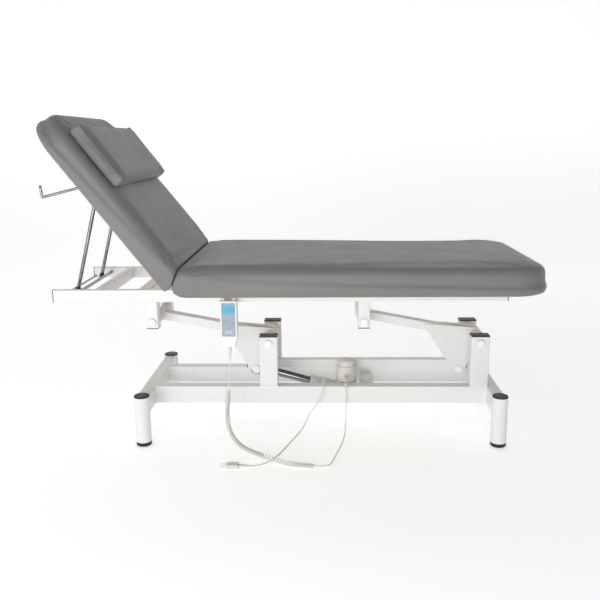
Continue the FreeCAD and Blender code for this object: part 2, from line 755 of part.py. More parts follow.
def prop_rods():
    line = prop_foot - prop_top
    step = line * (1.0 / line.Length)
    start = prop_top - step * 9.0 - Y_AXIS * prop_y
    end = prop_foot - Y_AXIS * prop_y
    stay = rod(start, end, prop_r)
    stay = stay.makeFillet(2.0, [e for e in stay.Edges if abs(e.Length - 2 * math.pi * prop_r) < 0.5])
    bore = rod(prop_top - Y_AXIS * 150, prop_top - Y_AXIS * 110, prop_pin_r + fit)
    return both_sides(stay.cut(bore))


def paper_roll_hooks():
    """Bent steel rods under the head of the backrest that hold a paper roll."""
    y = -hook_y
    root = Vector(-649.0, y, 835.2)
    bend = Vector(-769.0, y, 806.0)
    tip = Vector(-772.0, y, 838.0)
    hook = rod(root, bend, hook_r).fuse([Part.makeSphere(hook_r, bend), rod(bend, tip, hook_r)])
    flat_root = flat_point(root)
    board = back_under + 6.0 - weld_gap
    tab = box(flat_root.x - 14.0, flat_root.x + 14.0, y - 12.0, y + 12.0, board - 3.0, board)
    hook = hook.fuse(Part.makeSphere(hook_r, root))
    clear = box(flat_root.x - 60.0, flat_root.x + 60.0, y - 20.0, y + 20.0, board, board + 60.0)
    hook = hook.cut(tilt_back(clear))
    return both_sides(hook.fuse(tilt_back(tab)))


# Handset

def handset_body():
    """Hand control with a tapered chin, and pockets for its two buttons."""
    half = handset_w / 2
    y0, y1 = handset_y - handset_t / 2, handset_y + handset_t / 2
    outline = [(handset_x - half, handset_top), (handset_x - half, handset_neck),
               (handset_x - half + 8.0, handset_bottom), (handset_x + half - 8.0, handset_bottom),
               (handset_x + half, handset_neck), (handset_x + half, handset_top)]
    corners = [Vector(x, y0, z) for x, z in outline]
    body = Part.Face(Part.makePolygon(corners + corners[:1])).extrude(Vector(0, y1 - y0, 0))
    body = body.makeFillet(4.0, body.Edges)
    for x in button_xs():
        body = body.cut(button_block(x, button_gap, y0 - 5.0, y0 + 6.0))
    prongs = [handset_prong(handset_x + side * prong_offset) for side in (-1, 1)]
    return body.fuse(prongs)


def handset_prong(x):
    """A hook on the handset's back that goes over the flange of its holder."""
    x0, x1 = x - prong_w / 2, x + prong_w / 2
    back = handset_y + handset_t / 2
    root = box(x0, x1, back - 10.0, back - 0.2, handset_top - 20.0, handset_top + 5.0)
    bridge = box(x0, x1, back - 10.0, back + 8.0, handset_top + 1.0, handset_top + 5.0)
    leg = box(x0, x1, back + 4.0, back + 8.0, handset_top - 6.5, handset_top + 5.0)
    return root.fuse([bridge, leg])


def button_xs():
    return (handset_x - 11.0, handset_x + 11.0)


def button_block(x, grow, y0, y1):
    return box(x - button_w / 2 - grow, x + button_w / 2 + grow, y0, y1,
               button_z - button_h / 2 - grow, button_z + button_h / 2 + grow)


def handset_button(x):
    face = handset_y - handset_t / 2
    cap = button_block(x, 0.0, face - button_out, face - button_out + button_t)
    outer = [e for e in cap.Edges if abs(e.CenterOfMass.y - (face - button_out)) < 0.01]
    return cap.makeFillet(0.8, outer)


# Cords

def bend_points(name, route, radius):
    """Straight runs joined by tangent arcs through a hand-laid route; prints each bend radius."""
    points = [Vector(*p) for p in route]
    edges = []
    radii = []
    here = points[0]
    for before, corner, after in zip(points, points[1:], points[2:]):
        back = (before - corner)
        ahead = (after - corner)
        run = min(back.Length, ahead.Length)
        back.normalize()
        ahead.normalize()
        turn = math.pi - back.getAngle(ahead)
        cut = 0.45 * run
        bend = cut / math.tan(turn / 2)
        radii.append(bend)
        start, end = corner + back * cut, corner + ahead * cut
        inward = (back + ahead)
        inward.normalize()
        centre = corner + inward * math.hypot(cut, bend)
        middle = centre - inward * bend
        edges.append(Part.LineSegment(here, start).toShape())
        edges.append(Part.Arc(start, middle, end).toShape())
        here = end
    edges.append(Part.LineSegment(here, points[-1]).toShape())
    length = sum(e.Length for e in edges)
    print(name, "bend radii", [round(r) for r in radii], "smallest", round(min(radii), 1),
          "diameters", round(min(radii) / (2 * radius), 1), "length", round(length, 1))
    return Part.Wire(edges), length


def cord(name, route, radius):
    path, length = bend_points(name, route, radius)
    start = Vector(*route[0])
    heading = Vector(*route[1]) - start
    circle = Part.Wire(Part.makeCircle(radius, start, heading))
    tube = path.makePipeShell([circle], True, True)
    expected = math.pi * radius * radius * length
    print(name, "volume over section times length", round(tube.Volume / expected, 4))
    return tube


def mains_plug():
    x1, y, _ = mains_route[-1]
    x0 = x1 - plug_body.x
    body = box(x0, x1 - weld_gap, y - plug_body.y / 2, y + plug_body.y / 2, 0.0, plug_body.z)
    body = body.makeFillet(3.0, body.Edges)
    pins = []
    for side in (-plug_pin_y, plug_pin_y):
        start = Vector(x0 + 2.0, y + side, plug_body.z / 2)
        pins.append(rod(start, start - X_AXIS * (plug_pin_len + 2.0), plug_pin_r))
    return body.fuse(pins)


def build():
    nodes = {
        "base_rail_near": base_rail(-1),
        "base_rail_far": base_rail(1),
        "base_end_tube_head": base_end_tube(post_xs[0]),
        "base_end_tube_foot": base_end_tube(post_xs[1]),
        "corner_posts": group(corner_posts()),
        "post_caps": group(post_caps()),
        "rubber_feet": group(rubber_feet()),
        "uprights": group([upright(x, y) for x, y in upright_columns()]),
        "upright_caps": group([upright_cap(x, y) for x, y in upright_columns()]),
        "base_pivot_bolts": group(pivot_bolts((head_pivot, foot_pivot))),
        "actuator_cross_member": actuator_cross_member(),
        "actuator_rear_bracket": actuator_rear_bracket(),
        "actuator_rear_pin": actuator_rear_pin(),
        "tie_bar": tie_bar(),
        "tie_bar_plugs": group(tie_bar_plugs()),
        "tie_bar_bushes": group(tie_bar_bushes()),
        "actuator_housing": actuator_housing(),
        "actuator_nose": actuator_nose(),
        "actuator_motor": actuator_motor(),
        "actuator_spindle": actuator_spindle(),
        "actuator_rod": actuator_rod(),
        "actuator_rod_eye": actuator_rod_eye(),
        "actuator_nut": actuator_nut(),
        "bed_rail_near": bed_rail(-1),
        "bed_rail_far": bed_rail(1),
        "bed_rail_plugs": group(bed_rail_plugs()),
        "bed_cross_tubes": group(bed_cross_tubes()),
        "frame_rods": group(frame_rods()),
        "bed_brackets": group(bed_brackets()),
        "bed_bracket_plugs": group(bed_bracket_plugs()),
        "bed_pivot_bolts": group(pivot_bolts((head_bed_pivot, foot_bed_pivot))),
        "hinge_brackets": group(hinge_brackets()),
        "handset_holder": handset_holder(),
        "seat_board": seat_board(),
        "seat_cushion": seat_cushion(),
        "backrest_board": backrest_board(),
        "backrest_cushion": backrest_cushion(),
        "pillow": pillow(),
        "hinge_leaves": group(hinge_leaves()),
        "prop_lugs": group(prop_lugs()),
        "paper_roll_hooks": group(paper_roll_hooks()),
        "prop_rods": group(prop_rods()),
        "handset_body": handset_body(),
        "handset_button_up": handset_button(button_xs()[0]),
        "handset_button_down": handset_button(button_xs()[1]),
        "handset_cord_lead": cord("handset_cord_lead", lead_route, lead_r),
        "handset_cord_coil": cord("handset_cord_coil", coil_route, coil_r),
        "handset_cord_tail": cord("handset_cord_tail", tail_route, lead_r),
        "mains_cable": cord("mains_cable", mains_route, mains_r),
        "mains_plug": mains_plug(),
    }
    for name, pivot in (("head_arm", head_pivot), ("foot_arm", foot_pivot)):
        nodes[name + "_cross_tubes"] = group(arm_cross_tubes(pivot))
        nodes[name + "_beam"] = arm_beam(pivot)
        nodes[name + "_crank_plates"] = group(both_sides(crank_plate(pivot)))
        nodes[name + "_crank_pin"] = crank_pin(pivot)
        nodes[name + "_bushes"] = group(arm_bushes(pivot))
    return nodes


os.makedirs("parts", exist_ok=True)
for node_name, node_shape in build().items():
    node_shape.exportStep("parts/" + node_name + ".step")
    if not node_shape.isValid():
        print("invalid shape", node_name)
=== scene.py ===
import json
import math

import bpy
from mathutils import Matrix, Vector
from mathutils.bvhtree import BVHTree


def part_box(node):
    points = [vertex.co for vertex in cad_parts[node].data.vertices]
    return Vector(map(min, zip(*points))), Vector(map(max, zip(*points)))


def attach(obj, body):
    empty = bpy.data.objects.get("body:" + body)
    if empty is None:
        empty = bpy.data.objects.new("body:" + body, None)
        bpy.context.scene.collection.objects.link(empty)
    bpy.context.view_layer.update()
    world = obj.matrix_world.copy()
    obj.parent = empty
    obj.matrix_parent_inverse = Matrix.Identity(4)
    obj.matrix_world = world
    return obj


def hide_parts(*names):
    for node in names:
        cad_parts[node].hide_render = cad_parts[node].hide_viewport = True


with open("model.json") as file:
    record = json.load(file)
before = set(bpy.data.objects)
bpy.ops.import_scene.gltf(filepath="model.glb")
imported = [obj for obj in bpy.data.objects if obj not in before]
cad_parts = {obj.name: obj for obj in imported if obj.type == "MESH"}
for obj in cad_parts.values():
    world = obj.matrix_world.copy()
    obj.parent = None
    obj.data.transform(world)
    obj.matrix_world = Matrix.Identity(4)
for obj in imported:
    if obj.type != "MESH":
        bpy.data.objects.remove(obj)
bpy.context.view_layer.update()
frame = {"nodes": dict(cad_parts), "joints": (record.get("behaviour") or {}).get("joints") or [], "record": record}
scene = bpy.context.scene

# Camera: place and turn, in metres and radians
CAMERA_AT = Vector((0.0864, -2.428, 0.9666))
CAMERA_YAW = 0.032
CAMERA_PITCH = 0.217
CAMERA_ROLL = -0.01
CAMERA_LENS = 43.27

# Cords, in metres
CORD_R = 0.002
COIL_R = 0.006
COIL_PITCH = 0.0053
OPEN_PITCH = 0.0105
COIL_RAMP = 0.014
RAMP_PITCH = 0.04
OPEN_FROM, OPEN_TO = -0.098, -0.014
COIL_STEPS = 14
MAINS_R = 0.0025
LEAD_ROUTE = [(-0.206, -0.2496, 0.3379), (-0.206, -0.2496, 0.292), (-0.2091, -0.2455, 0.2456),
              (-0.214, -0.249, 0.2)]
COIL_ROUTE = [(-0.21401, -0.24901, 0.1999), (-0.221, -0.254, 0.135), (-0.215, -0.284, 0.078),
              (-0.183, -0.324, 0.04), (-0.125, -0.36, 0.026), (-0.058, -0.388, 0.017),
              (0.005, -0.407, 0.0081), (0.068, -0.409, 0.0081)]
TAIL_ROUTE = [(0.0681, -0.409, 0.0081), (0.086, -0.4096, 0.0081), (0.104, -0.399, 0.004),
              (0.115, -0.37, 0.0022), (0.125, -0.324, 0.0023), (0.137, -0.276, 0.0021),
              (0.148, -0.23, 0.0022), (0.156, -0.19, 0.003), (0.161, -0.158, 0.02),
              (0.163, -0.144, 0.06), (0.164, -0.141, 0.108), (0.163, -0.143, 0.156),
              (0.164, -0.124, 0.182), (0.165, -0.096, 0.188), (0.165, -0.07, 0.179),
              (0.166, -0.048, 0.168)]
MAINS_ROUTE = [(0.0955, -0.027, 0.143), (0.093, -0.05, 0.158), (0.09, -0.082, 0.18),
               (0.088, -0.114, 0.188), (0.087, -0.142, 0.172), (0.084, -0.148, 0.14),
               (0.066, -0.147, 0.106), (0.042, -0.15, 0.074), (0.026, -0.158, 0.038),
               (0.006, -0.172, 0.012), (-0.014, -0.204, 0.0026), (-0.03, -0.252, 0.0025),
               (-0.046, -0.302, 0.0026), (-0.064, -0.346, 0.0025), (-0.086, -0.378, 0.0026),
               (-0.112, -0.398, 0.0026), (-0.138, -0.407, 0.0046), (-0.155, -0.4072, 0.007),
               (-0.17, -0.4072, 0.007)]

# Backrest's own frame: along it towards the head, and out of its front face
HINGE = Vector(next(j["pos_m"] for j in frame["joints"] if j["name"] == "backrest_fold"))
BACK_TURN = Matrix.Rotation(math.radians(52.5), 3, "Y")
BACK_LOW = 0.5106
BACK_END = -0.3696
BACK_LENGTH = 0.626
PILLOW_FROM_END = 0.085
PILLOW_LENGTH = 0.211
PILLOW_HALF = 0.29
PILLOW_TOP, PILLOW_BOTTOM = 0.1203, 0.0808
CORNER_R = 0.11               # the rounded outer corners of both cushions

# Frame: middles of tubes and pins, in metres
RAIL_Y = 0.108
TUBE_HALF_X = 0.03
TUBE_HALF_Y = 0.02
BRACKET_HALF_X = 0.0195
END_TUBE_WELD_Y = 0.2195      # where the end tubes meet the corner posts
MOTOR_AT = Vector((0.168, -0.004, 0))
CRANK_PIN = Vector((-0.144, 0, 0.192))
REAR_PIN = Vector((0.2, 0, 0.095))
PROP_TOP = Vector((-0.632, 0, 0.81))
PROP_FOOT = Vector((-0.718, 0, 0.488))
PROP_Y = 0.13
HOOK_TIP = Vector((-0.77192, 0, 0.8365))
HOOK_Y = 0.234


# ---------------------------------------------------------------- small helpers

def link(name, data):
    obj = bpy.data.objects.new(name, data)
    scene.collection.objects.link(obj)
    return obj


def finish_piece(obj, material, body):
    obj.data.materials.clear()
    obj.data.materials.append(material)
    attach(obj, body)
    return obj


def side_name(side):
    return "near" if side < 0 else "far"


def smooth(obj):
    for face in obj.data.polygons:
        face.use_smooth = True
    return obj


def mesh_piece(name, verts, faces):
    mesh = bpy.data.meshes.new(name)
    mesh.from_pydata([tuple(v) for v in verts], [], faces)
    mesh.validate()
    mesh.update()
    return link(name, mesh)


def axes_for(direction):
    """Two unit vectors square to a direction."""
    side = direction.cross(Vector((0, 0, 1)))
    if side.length < 0.1:
        side = direction.cross(Vector((1, 0, 0)))
    side.normalize()
    return side, side.cross(direction).normalized()


def turned(name, start, direction, profile, steps=40):
    """A turned solid: profile is a list of (distance along the axis, radius)."""
    start, direction = Vector(start), Vector(direction).normalized()
    side, up = axes_for(direction)
    verts, faces = [], []
    for along, radius in profile:
        for i in range(steps):
            angle = 2 * math.pi * i / steps
            verts.append(start + direction * along + (side * math.cos(angle) + up * math.sin(angle)) * radius)
    for ring in range(len(profile) - 1):
        for i in range(steps):
            j = (i + 1) % steps
            a, b = ring * steps, (ring + 1) * steps
            faces.append((a + i, a + j, b + j, b + i))
    faces.append(tuple(range(steps))[::-1])
    faces.append(tuple(range((len(profile) - 1) * steps, len(profile) * steps)))
    return smooth(mesh_piece(name, verts, faces))


def path_curve(name, points, radius, closed=False, nurbs=False, rings=3, fine=8):
    data = bpy.data.curves.new(name, "CURVE")
    data.dimensions = "3D"
    data.bevel_depth = radius
    data.bevel_resolution = rings
    data.resolution_u = fine
    data.use_fill_caps = True
    spline = data.splines.new("NURBS" if nurbs else "POLY")
    spline.points.add(len(points) - 1)
    for point, co in zip(spline.points, points):
        point.co = (co[0], co[1], co[2], 1.0)
    if nurbs:
        spline.order_u = 3
        spline.use_endpoint_u = not closed
    spline.use_cyclic_u = closed
    return link(name, data)


def line_of(points, fine=24):
    """The places along the smooth curve that a route makes, in order."""
    temp = path_curve("temp_route", points, 0.0, nurbs=True, fine=fine)
    bpy.context.view_layer.update()
    mesh = bpy.data.meshes.new_from_object(temp)
    places = [v.co.copy() for v in mesh.vertices]
    bpy.data.objects.remove(temp)
    bpy.data.meshes.remove(mesh)
    return places


def run_length(places):
    return sum((b - a).length for a, b in zip(places, places[1:]))


# ---------------------------------------------------------------- materials

def new_material(name, color, rough, metallic=0.0):
    mat = bpy.data.materials.new(name)
    mat.use_nodes = True
    tree = mat.node_tree
    shader = tree.nodes["Principled BSDF"]
    shader.inputs["Base Color"].default_value = (*color, 1.0)
    shader.inputs["Roughness"].default_value = rough
    shader.inputs["Metallic"].default_value = metallic
    return mat, tree, shader


def add(tree, kind, **values):
    node = tree.nodes.new(kind)
    for key, value in values.items():
        if key in node.inputs:
            node.inputs[key].default_value = value
        else:
            setattr(node, key, value)
    return node


def noise(tree, scale, detail=3.0, rough=0.5, stretch=(1, 1, 1)):
    """Noise over the piece's own coordinates, stretched along any axis."""
    coords = add(tree, "ShaderNodeTexCoord")
    mapping = add(tree, "ShaderNodeMapping")
    mapping.inputs["Scale"].default_value = stretch
    texture = add(tree, "ShaderNodeTexNoise", Scale=scale, Detail=detail, Roughness=rough)
    tree.links.new(coords.outputs["Object"], mapping.inputs["Vector"])
    tree.links.new(mapping.outputs["Vector"], texture.inputs["Vector"])
    return texture.outputs["Fac"]


def cells(tree, scale, feature="SMOOTH_F1"):
    coords = add(tree, "ShaderNodeTexCoord")
    texture = add(tree, "ShaderNodeTexVoronoi", feature=feature, Scale=scale)
    tree.links.new(coords.outputs["Object"], texture.inputs["Vector"])
    return texture.outputs["Distance"]


def spread(tree, value, low, high, from_low=0.3, from_high=0.7):
    node = add(tree, "ShaderNodeMapRange")
    node.inputs["From Min"].default_value = from_low
    node.inputs["From Max"].default_value = from_high
    node.inputs["To Min"].default_value = low
    node.inputs["To Max"].default_value = high
    tree.links.new(value, node.inputs["Value"])
    return node.outputs["Result"]


def tint(tree, shader, factor, first, second):
    mix = add(tree, "ShaderNodeMix", data_type="RGBA")
    mix.inputs[6].default_value = (*first, 1.0)
    mix.inputs[7].default_value = (*second, 1.0)
    tree.links.new(factor, mix.inputs[0])
    tree.links.new(mix.outputs[2], shader.inputs["Base Color"])
    return mix.outputs[2]


def wear(tree, shader, color, worn, start=0.53, end=0.6):
    """Lightens or darkens sharp outer edges."""
    geometry = add(tree, "ShaderNodeNewGeometry")
    factor = spread(tree, geometry.outputs["Pointiness"], 0.0, 0.6, start, end)
    mix = add(tree, "ShaderNodeMix", data_type="RGBA")
    tree.links.new(factor, mix.inputs[0])
    tree.links.new(color, mix.inputs[6])
    mix.inputs[7].default_value = (*worn, 1.0)
    tree.links.new(mix.outputs[2], shader.inputs["Base Color"])


def bump(tree, shader, layers):
    """Stacks height layers given as (socket, distance in metres, strength)."""
    before = None
    for height, distance, strength in layers:
        node = add(tree, "ShaderNodeBump")
        node.inputs["Strength"].default_value = strength
        node.inputs["Distance"].default_value = distance
        tree.links.new(height, node.inputs["Height"])
        if before:
            tree.links.new(before.outputs["Normal"], node.inputs["Normal"])
        before = node
    tree.links.new(before.outputs["Normal"], shader.inputs["Normal"])


def powder_coat():
    mat, tree, shader = new_material("powder_coat_white", (0.84, 0.85, 0.86), 0.32)
    color = tint(tree, shader, spread(tree, noise(tree, 5.0), 0, 1), (0.82, 0.83, 0.845), (0.87, 0.875, 0.88))
    wear(tree, shader, color, (0.7, 0.7, 0.69))
    tree.links.new(spread(tree, noise(tree, 30.0), 0.26, 0.4), shader.inputs["Roughness"])
    bump(tree, shader, [(noise(tree, 420.0, 2.0), 0.0002, 0.16), (noise(tree, 1500.0, 1.0), 0.00006, 0.1)])
    return mat


def moulded(name, color, rough=0.45, grain=0.12, worn=None):
    mat, tree, shader = new_material(name, color, rough)
    darker = tuple(c * 0.9 for c in color)
    mixed = tint(tree, shader, spread(tree, noise(tree, 18.0), 0, 1), color, darker)
    wear(tree, shader, mixed, worn or tuple(min(1.0, c * 1.15 + 0.02) for c in color))
    tree.links.new(spread(tree, noise(tree, 60.0), rough - 0.07, rough + 0.09), shader.inputs["Roughness"])
    bump(tree, shader, [(noise(tree, 1700.0, 2.0), 0.0001, grain), (noise(tree, 120.0), 0.0001, 0.05)])
    return mat


def rubber():
    mat = moulded("rubber_black", (0.022, 0.022, 0.024), 0.72, 0.3, (0.06, 0.06, 0.06))
    tree, shader = mat.node_tree, mat.node_tree.nodes["Principled BSDF"]
    shader.inputs["Specular IOR Level"].default_value = 0.3
    return mat


def chrome():
    mat, tree, shader = new_material("chrome_polished", (0.36, 0.365, 0.38), 0.07, 1.0)
    tint(tree, shader, spread(tree, noise(tree, 40.0), 0, 1), (0.16, 0.164, 0.174), (0.24, 0.245, 0.257))
    streaks = noise(tree, 300.0, 4.0, 0.6, (0.2, 6, 6))
    tree.links.new(spread(tree, streaks, 0.04, 0.16), shader.inputs["Roughness"])
    bump(tree, shader, [(noise(tree, 600.0, 2.0, 0.5, (0.1, 8, 8)), 0.00002, 0.15)])
    return mat


def zinc():
    mat, tree, shader = new_material("zinc_plate", (0.6, 0.61, 0.62), 0.3, 0.95)
    tint(tree, shader, spread(tree, cells(tree, 300.0), 0, 1, 0.0, 0.8), (0.5, 0.51, 0.53), (0.7, 0.7, 0.69))
    tree.links.new(spread(tree, noise(tree, 150.0), 0.22, 0.42), shader.inputs["Roughness"])
    bump(tree, shader, [(noise(tree, 900.0, 3.0), 0.00005, 0.2)])
    return mat


def vinyl(name="vinyl_grey"):
    """Embossed vinyl leather: fine pebbled grain, broad shade changes and a soft sheen."""
    mat, tree, shader = new_material(name, (0.25, 0.245, 0.235), 0.5)
    broad = spread(tree, noise(tree, 3.5, 4.0, 0.55), 0, 1)
    color = tint(tree, shader, broad, (0.176, 0.172, 0.166), (0.2, 0.195, 0.187))
    wear(tree, shader, color, (0.25, 0.246, 0.238), 0.51, 0.57)
    tree.links.new(spread(tree, noise(tree, 14.0), 0.44, 0.56), shader.inputs["Roughness"])
    shader.inputs["Sheen Weight"].default_value = 0.12
    shader.inputs["Sheen Roughness"].default_value = 0.4
    shader.inputs["Specular IOR Level"].default_value = 0.4
    grain = cells(tree, 820.0)
    creases = noise(tree, 240.0, 5.0, 0.6)
    swells = noise(tree, 16.0, 3.0)
    bump(tree, shader, [(swells, 0.0008, 0.12), (creases, 0.0002, 0.22), (grain, 0.00022, 0.4)])
    return mat


def plywood():
    mat, tree, shader = new_material("plywood_sealed", (0.42, 0.3, 0.18), 0.62)
    grain = noise(tree, 26.0, 8.0, 0.65, (0.6, 9, 9))
    tint(tree, shader, spread(tree, grain, 0, 1), (0.3, 0.2, 0.11), (0.55, 0.42, 0.27))
    bump(tree, shader, [(noise(tree, 90.0, 6.0, 0.6, (0.4, 12, 12)), 0.0002, 0.4)])
    return mat


def flat_black():
    mat, tree, shader = new_material("shadow_black", (0.01, 0.01, 0.01), 0.6)
    bump(tree, shader, [(noise(tree, 900.0), 0.00005, 0.1)])
    return mat


powder = powder_coat()
black = moulded("plastic_black", (0.016, 0.016, 0.017), 0.5, 0.2, (0.04, 0.04, 0.04))
rubber_mat = rubber()
chrome_mat = chrome()
zinc_mat = zinc()
nylon = moulded("nylon_natural", (0.78, 0.77, 0.72), 0.38)
cream = moulded("plastic_cream", (0.74, 0.735, 0.69), 0.4)
vinyl_mat = vinyl()
wood = plywood()
shell = moulded("handset_shell", (0.78, 0.775, 0.74), 0.36)
panel_mat = moulded("handset_panel", (0.33, 0.38, 0.46), 0.3, 0.05)
strip_mat = moulded("handset_strip", (0.12, 0.42, 0.62), 0.28, 0.05)
teal = moulded("button_teal", (0.07, 0.45, 0.55), 0.34, 0.1)
cord_mat = moulded("cord_pvc", (0.72, 0.715, 0.67), 0.36, 0.1)
thread = moulded("thread_grey", (0.17, 0.168, 0.16), 0.7, 0.4)
dark = flat_black()

SLOT_MATERIALS = {"frame": powder, "black_plastic": black, "rubber": rubber_mat, "zinc": zinc_mat,
                  "chrome": chrome_mat, "nylon": nylon, "actuator_plastic": cream, "upholstery": vinyl_mat,
                  "board": wood, "handset_plastic": shell, "button": teal, "cord": cord_mat}


def dress_cad_nodes():
    for part in frame["record"]["subparts"]:
        obj = frame["nodes"][part["node"]]
        obj.data.materials.clear()
        obj.data.materials.append(SLOT_MATERIALS[part["material_slot"]])


# ---------------------------------------------------------------- camera and cords

def make_camera():
    yaw, pitch, roll = CAMERA_YAW, CAMERA_PITCH, CAMERA_ROLL
    right = Vector((math.cos(yaw), math.sin(yaw), 0))
    level = Vector((-math.sin(yaw), math.cos(yaw), 0))
    ahead = level * math.cos(pitch) - Vector((0, 0, 1)) * math.sin(pitch)
    up = level * math.sin(pitch) + Vector((0, 0, 1)) * math.cos(pitch)
    right, up = right * math.cos(roll) + up * math.sin(roll), up * math.cos(roll) - right * math.sin(roll)
    data = bpy.data.cameras.new("camera")
    data.lens = CAMERA_LENS
    data.sensor_width = 36.0
    camera = link("camera", data)
    camera.matrix_world = Matrix.Translation(CAMERA_AT) @ Matrix((right, up, -ahead)).transposed().to_4x4()
    scene.camera = camera


def coil_points():
    """The curly stretch: a helix of even turns round its route, pulled open in one place."""
    centre = line_of(COIL_ROUTE)
    total = run_length(centre)
    side, _ = axes_for((centre[1] - centre[0]).normalized())
    points, travelled, angle, index, passed = [], 0.0, 0.0, 0, 0.0
    while travelled < total:
        while index < len(centre) - 2 and passed + (centre[index + 1] - centre[index]).length < travelled:
            passed += (centre[index + 1] - centre[index]).length
            index += 1
        step = centre[index + 1] - centre[index]
        heading = step.normalized()
        place = centre[index] + heading * (travelled - passed)
        side = (side - heading * side.dot(heading)).normalized()
        other = heading.cross(side)
        grow = min(1.0, travelled / COIL_RAMP, (total - travelled) / COIL_RAMP)
        points.append(place + (side * math.cos(angle) + other * math.sin(angle)) * COIL_R * grow)
        pitch = OPEN_PITCH if OPEN_FROM < place.x < OPEN_TO else COIL_PITCH
        pitch += (RAMP_PITCH - pitch) * (1.0 - grow)
        travelled += pitch / COIL_STEPS
        angle += 2 * math.pi / COIL_STEPS
    return points


def make_cords():
    route = [Vector(p) for p in LEAD_ROUTE] + coil_points()[2:-2] + [Vector(p) for p in TAIL_ROUTE[1:]]
    handset_cord = path_curve("handset_cord", route, CORD_R, nurbs=True, rings=3, fine=6)
    finish_piece(handset_cord, cord_mat, "base")
    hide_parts("handset_cord_lead", "handset_cord_coil", "handset_cord_tail")
    joint_at, joint_towards = Vector((0.1635, -0.1345, 0.1676)), Vector((0.001, 0.019, 0.026))
    profile = [(-0.010, 0.0024), (-0.009, 0.0042), (-0.003, 0.005), (-0.0025, 0.0044), (0.0005, 0.0044),
               (0.001, 0.005), (0.007, 0.0042), (0.009, 0.0024)]
    joint = turned("handset_cord_joint", joint_at, joint_towards, profile, 28)
    finish_piece(joint, cord_mat, "base")
    run_length(line_of(route, 6))
    mains = path_curve("mains_cord", MAINS_ROUTE, MAINS_R, nurbs=True, rings=4, fine=16)
    finish_piece(mains, cord_mat, "base")
    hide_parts("mains_cable")
    relief = strain_relief("plug_strain_relief", MAINS_ROUTE[-1], (1, 0, 0.0), 0.026, 0.0056, 0.0034, "base")
    run_length(line_of(MAINS_ROUTE, 16))


def strain_relief(name, start, direction, length, wide, narrow, body):
    """A ribbed sleeve that tapers from its root to the cord."""
    ribs = 7
    profile = [(-0.001, wide)]
    for i in range(ribs):
        low = length * i / ribs
        radius = wide + (narrow - wide) * i / ribs
        profile += [(low + length / ribs * 0.1, radius), (low + length / ribs * 0.55, radius),
                    (low + length / ribs * 0.65, radius * 0.8), (low + length / ribs * 0.95, radius * 0.8)]
    profile.append((length, narrow))
    return finish_piece(turned(name, start, direction, profile, 28), cord_mat, body)


# ---------------------------------------------------------------- upholstery

def remeshed(name, node, voxel):
    obj = link(name, frame["nodes"][node].data.copy())
    remesh = obj.modifiers.new("remesh", "REMESH")
    remesh.mode = "VOXEL"
    remesh.voxel_size = voxel
    bpy.context.view_layer.update()
    mesh = bpy.data.meshes.new_from_object(obj.evaluated_get(bpy.context.evaluated_depsgraph_get()))
    obj.modifiers.clear()
    obj.data = mesh
    return obj


def stuffed(name, node, body, voxel, free, most, pressure=4.0):
    """A cushion's cover blown up by cloth simulation from its plain solid, held where free() is 0."""
    obj = remeshed(name, node, voxel * (1.0))
    soften(obj, 3)
    rest = [v.co.copy() for v in obj.data.vertices]
    group = obj.vertex_groups.new(name="held")
    for vertex in obj.data.vertices:
        group.add([vertex.index], 1.0 - free(vertex.co), "REPLACE")
    cloth = obj.modifiers.new("cloth", "CLOTH")
    settings = cloth.settings
    settings.vertex_group_mass = "held"
    settings.use_pressure = True
    settings.uniform_pressure_force = pressure
    settings.mass = 0.15
    settings.tension_stiffness = 18.0
    settings.compression_stiffness = 18.0
    settings.shear_stiffness = 8.0
    settings.bending_stiffness = 1.5
    settings.effector_weights.gravity = 0.0
    cloth.collision_settings.use_collision = False
    cloth.point_cache.frame_start = 1
    cloth.point_cache.frame_end = 20
    for step in range(1, 21):
        scene.frame_set(step)
    moved = bpy.data.meshes.new_from_object(obj.evaluated_get(bpy.context.evaluated_depsgraph_get()))
    obj.modifiers.clear()
    scene.frame_set(1)
    for vertex, before, after in zip(obj.data.vertices, rest, moved.vertices):
        shift = after.co - before
        if shift.length > most:
            shift *= most / shift.length * (1.0 + 0.25 * math.tanh(shift.length / most - 1.0))
        vertex.co = before + shift
    bpy.data.meshes.remove(moved)
    obj.vertex_groups.clear()
    soften(obj, 2)
    obj.modifiers.new("smooth", "SUBSURF").levels = 1
    smooth(obj)
    finish_piece(obj, vinyl_mat, body)
    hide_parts(node)
    return obj


def soften(obj, rounds):
    """Evens out the steps that remeshing leaves."""
    relax = obj.modifiers.new("relax", "SMOOTH")
    relax.iterations = rounds
    relax.factor = 0.5
    bpy.context.view_layer.update()
    mesh = bpy.data.meshes.new_from_object(obj.evaluated_get(bpy.context.evaluated_depsgraph_get()))
    obj.modifiers.clear()
    obj.data = mesh


def in_back(co):
    """A point of the raised backrest, as it is when the backrest lies flat."""
    return HINGE + BACK_TURN.transposed() @ (Vector(co) - HINGE)


def from_back(co):
    return HINGE + BACK_TURN @ (Vector(co) - HINGE)


def ramp(value, low, high):
    return min(1.0, max(0.0, (value - low) / (high - low)))


def seat_free(co):
    return ramp(co.z, 0.52, 0.545) * ramp(co.x, -0.34, -0.30)


def back_free(co):
    flat = in_back(co)
    return ramp(flat.z, BACK_LOW + 0.012, BACK_LOW + 0.035) * ramp(BACK_END - flat.x, 0.03, 0.07)


def pillow_free(co):
    flat = in_back(co)
    return ramp(flat.z, BACK_LOW + 0.082, BACK_LOW + 0.095)


